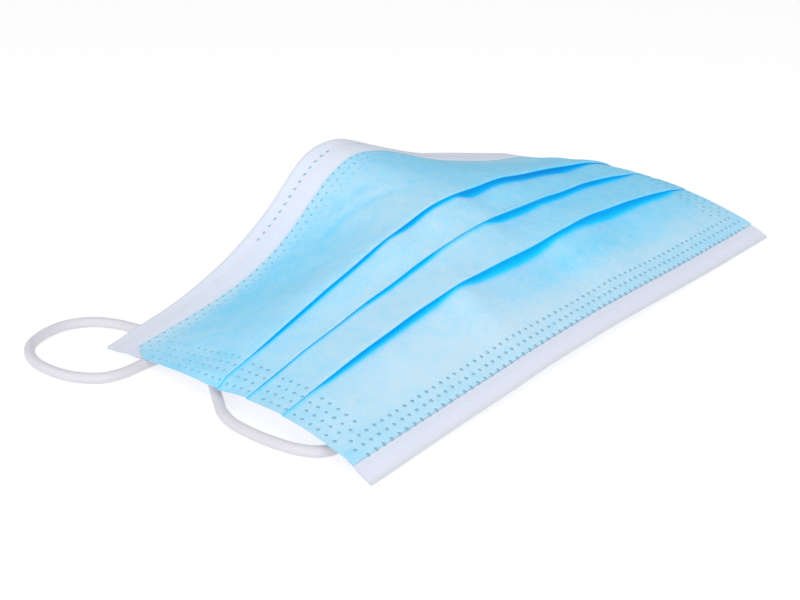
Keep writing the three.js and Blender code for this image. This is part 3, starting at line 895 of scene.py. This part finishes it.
wire_columns = np.linspace(-WIRE_SPAN, WIRE_SPAN, 121)
section = np.linspace(0, 2 * np.pi, 20, endpoint=False)
wide = WIRE_HALF_WIDTH * rounded(np.cos(section))
tall = WIRE_HALF_HEIGHT * rounded(np.sin(section)) * (1 + RIB_SHARE * np.cos(2 * np.pi * wide))
ring = point_at(
    np.repeat(wire_columns, len(section)), np.tile(sum(LANE) / 2 + wide, len(wire_columns)),
    np.tile(WIRE_DEPTH + tall, len(wire_columns)),
)
wire_faces, rings = tube_faces(len(wire_columns), len(section))
wire_faces += [rings[0, :-1].tolist(), rings[-1, -2::-1].tolist()]
nose_wire = make_piece("coated_nose_wire", ring, wire_faces, [coated_wire])

# %% [markdown]
# ## Weld dots
# Where the horn pressed, the fibres fused into a thin film: a small glassy lens, darker and greyer than the
# cloth because it no longer scatters light, and half glossy. A lightly pressed dot keeps more of the blue.

# %% Fused film finish
fused_film, tree = new_finish("fused_polypropylene_film")
where = add_node(tree, "ShaderNodeTexCoord")
grain = add_node(tree, "ShaderNodeTexNoise", {
    "Vector": where.outputs["Object"], "Scale": 1 / (1.6 * MM), "Detail": 2.0,
})
fused = add_node(tree, "ShaderNodeMix", {
    0: grain.outputs["Fac"], 6: linear("#649FB9"), 7: linear("#9BC6D9"),
}, data_type="RGBA")
pressed_in = add_node(tree, "ShaderNodeAttribute", attribute_name="pressed")
film = add_node(tree, "ShaderNodeMix", {
    0: pressed_in.outputs["Fac"], 6: linear("#8CCDEC"), 7: fused.outputs[2],
}, data_type="RGBA")
skin = add_node(tree, "ShaderNodeBsdfPrincipled", {
    "Base Color": film.outputs[2], "Roughness": 0.5, "IOR": 1.49, "Specular IOR Level": 0.4,
})
add_node(tree, "ShaderNodeOutputMaterial", {"Surface": skin.outputs[0]})
print("finish:", fused_film.name)

# %% [markdown]
# Rays dropped on the finished cloth, from above and from below, find where each planned dot lies and which
# way it faces, so the welds show on both faces as they do on the real mask.

# %% Points on the cloth for the dots
INNER_SHARE = 0.8
cloth_points, cloth_faces = [], []
for piece in (panel, chin_hem, nose_hem):
    start = len(cloth_points)
    cloth_points += [v.co.copy() for v in piece.data.vertices]
    cloth_faces += [[start + i for i in p.vertices] for p in piece.data.polygons]
cloth = BVHTree.FromPolygons(cloth_points, cloth_faces)
spots, facing, widths, stretches, pressings = [], [], [], [], []
for x, v, size, stretch, pressing in plan:
    at = point_at(x / HALF_CHIN, v, 0)[0] * MM
    for start, way in ((0.1, -1), (-0.1, 1)):
        spot, normal, _, _ = cloth.ray_cast(Vector((at[0], at[1], start)), Vector((0, 0, way)))
        if spot is None:
            continue
        spots.append(spot)
        facing.append(normal)
        widths.append(size if way < 0 else INNER_SHARE * size)
        stretches.append(stretch)
        pressings.append(pressing)
print("dots found on the cloth:", len(spots), "of", 2 * len(plan))

# %% [markdown]
# Hundreds of like dots are a task for Geometry Nodes: one small lens is set on every point, turned to the
# cloth's normal and sized by the point's own attributes, with the dashes of the wire row stretched along the
# hem. The tree ends in real geometry with its finish, because instances don't survive an export.

# %% Weld dot tree
DOT_WIDTH, DOME_HEIGHT = 1.0, 0.16
lens_tree = bpy.data.node_groups.new("weld_dots", "GeometryNodeTree")
lens_tree.interface.new_socket("Geometry", in_out="INPUT", socket_type="NodeSocketGeometry")
width_input = lens_tree.interface.new_socket("Dot Width", in_out="INPUT", socket_type="NodeSocketFloat")
dome_input = lens_tree.interface.new_socket("Dome Height", in_out="INPUT", socket_type="NodeSocketFloat")
lens_tree.interface.new_socket("Geometry", in_out="OUTPUT", socket_type="NodeSocketGeometry")
group_in = add_node(lens_tree, "NodeGroupInput")
ball = add_node(lens_tree, "GeometryNodeMeshUVSphere", {"Segments": 10, "Rings": 4, "Radius": 0.5})
named = {
    name: add_node(lens_tree, "GeometryNodeInputNamedAttribute", {"Name": name}, data_type=kind).outputs[0]
    for name, kind in (("facing", "FLOAT_VECTOR"), ("width", "FLOAT"), ("stretch", "FLOAT"))
}
upright = add_node(lens_tree, "FunctionNodeAlignRotationToVector", {"Vector": named["facing"]}, axis="Z")
along_hem = add_node(lens_tree, "FunctionNodeAlignRotationToVector", {
    "Rotation": upright.outputs[0], "Vector": (1.0, 0.0, 0.0),
}, axis="X", pivot_axis="Z")
across_dot = add_node(lens_tree, "ShaderNodeMath", {
    0: group_in.outputs["Dot Width"], 1: named["width"],
}, operation="MULTIPLY")
along_dot = add_node(lens_tree, "ShaderNodeMath", {
    0: across_dot.outputs[0], 1: named["stretch"],
}, operation="MULTIPLY")
lens_size = add_node(lens_tree, "ShaderNodeCombineXYZ", {
    "X": along_dot.outputs[0], "Y": across_dot.outputs[0], "Z": group_in.outputs["Dome Height"],
})
lenses = add_node(lens_tree, "GeometryNodeInstanceOnPoints", {
    "Points": group_in.outputs["Geometry"], "Instance": ball.outputs[0],
    "Rotation": along_hem.outputs[0], "Scale": lens_size.outputs[0],
})
solid = add_node(lens_tree, "GeometryNodeRealizeInstances", {"Geometry": lenses.outputs[0]})
smooth = add_node(lens_tree, "GeometryNodeSetShadeSmooth", {"Geometry": solid.outputs[0]})
finished = add_node(lens_tree, "GeometryNodeSetMaterial", {
    "Geometry": smooth.outputs[0], "Material": fused_film,
})
add_node(lens_tree, "NodeGroupOutput", {"Geometry": finished.outputs[0]})
print("weld dot tree:", len(lens_tree.nodes), "nodes")

# %% [markdown]
# The points carry four attributes that the tree and the finish read. The evaluated result is copied to a plain
# mesh, and the points with their modifier are removed.

# %% Weld dots
dot_mesh = bpy.data.meshes.new("weld_dot_points")
dot_mesh.from_pydata(spots, [], [])
directions = dot_mesh.attributes.new("facing", "FLOAT_VECTOR", "POINT")
directions.data.foreach_set("vector", np.array(facing, np.float32).ravel())
for name, values in {"width": widths, "stretch": stretches, "pressed": pressings}.items():
    carry(dot_mesh, name, values)
dot_source = add_object("weld_dot_points", dot_mesh)
lens_modifier = dot_source.modifiers.new("weld_dots", "NODES")
lens_modifier.node_group = lens_tree
lens_modifier[width_input.identifier] = DOT_WIDTH * MM
lens_modifier[dome_input.identifier] = DOME_HEIGHT * MM
evaluated = dot_source.evaluated_get(bpy.context.evaluated_depsgraph_get())
weld_dots = add_object("weld_dots", bpy.data.meshes.new_from_object(evaluated))
bpy.data.objects.remove(dot_source)
print("weld dots:", len(weld_dots.data.polygons), "faces")

# %% [markdown]
# ## Joining the pieces to the part
# Every piece rides on the mask's one body and stands for its solid, which is hidden. The sizes that the
# cloth sheets were cut to are printed.

for piece, node, slot in (
    (panel, "pleated_panel", "blue_nonwoven"), (chin_hem, "chin_band", "white_nonwoven"),
    (nose_hem, "nose_band", "white_nonwoven"), (nose_wire, "nose_wire", "coated_wire"),
):
    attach(piece, "root")
    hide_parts(node)
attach(weld_dots, "root")
print("sheets are cut", [round(cut) for cut in (cut_length[-1], chin_cut, nose_cut)], "mm long")

# %% [markdown]
# ## Floor and light
# The photograph is a high-key product shot: white all round, soft light and almost no shadow. The floor is
# matt white paper that glows a little, as a lit table does, so that shadows on it stay faint.

# %% Floor
floor_finish, tree = new_finish("matt_white_paper")
where = add_node(tree, "ShaderNodeTexCoord")
pulp = add_node(tree, "ShaderNodeTexNoise", {
    "Vector": where.outputs["Object"], "Scale": 1 / (0.8 * MM), "Detail": 2.0,
})
paper = add_node(tree, "ShaderNodeMix", {
    0: pulp.outputs["Fac"], 6: linear("#A4A4A6"), 7: linear("#A8A8AA"),
}, data_type="RGBA")
skin = add_node(tree, "ShaderNodeBsdfPrincipled", {
    "Base Color": paper.outputs[2], "Roughness": 0.9,
    "Emission Color": linear("#FFFFFF"), "Emission Strength": 0.66,
})
add_node(tree, "ShaderNodeOutputMaterial", {"Surface": skin.outputs[0]})
floor_mesh = bpy.data.meshes.new("floor")
floor_mesh.from_pydata([(-3, -3, 0), (3, -3, 0), (3, 3, 0), (-3, 3, 0)], [], [(0, 1, 2, 3)])
floor_mesh.materials.append(floor_finish)
add_object("floor", floor_mesh)
print("floor finish:", floor_finish.name)

# %% [markdown]
# One wide softbox hangs overhead towards the camera. A second fills from the left, and a third stands low in
# front so that the lips of the folds aren't dark. An even white world lights the rest.

# %% Lights
def softbox(name, place, size, power):
    lamp = bpy.data.lights.new(name, "AREA")
    lamp.shape = "DISK"
    lamp.size = size
    lamp.energy = power
    box = add_object(name, lamp)
    box.location = place
    box.rotation_euler = Vector(place).to_track_quat("Z", "Y").to_euler()
    print(name, power, "W")


softbox("overhead_softbox", (-0.35, -0.35, 1.05), 1.0, 4.6)
softbox("left_fill", (-1.0, 0.15, 0.45), 0.8, 3.8)
softbox("low_front_fill", (-0.25, -1.0, 0.35), 0.8, 3.2)
world = bpy.data.worlds.new("white_studio")
world.use_nodes = True
sky = world.node_tree.nodes["Background"]
sky.inputs["Color"].default_value = linear("#FFFFFF")
sky.inputs["Strength"].default_value = 0.5
bpy.context.scene.world = world
bpy.context.scene.view_settings.view_transform = "Standard"

# %% [markdown]
# ## Last update
# The view layer is brought up to date with every piece in place.

# %% Update the view layer
bpy.context.view_layer.update()
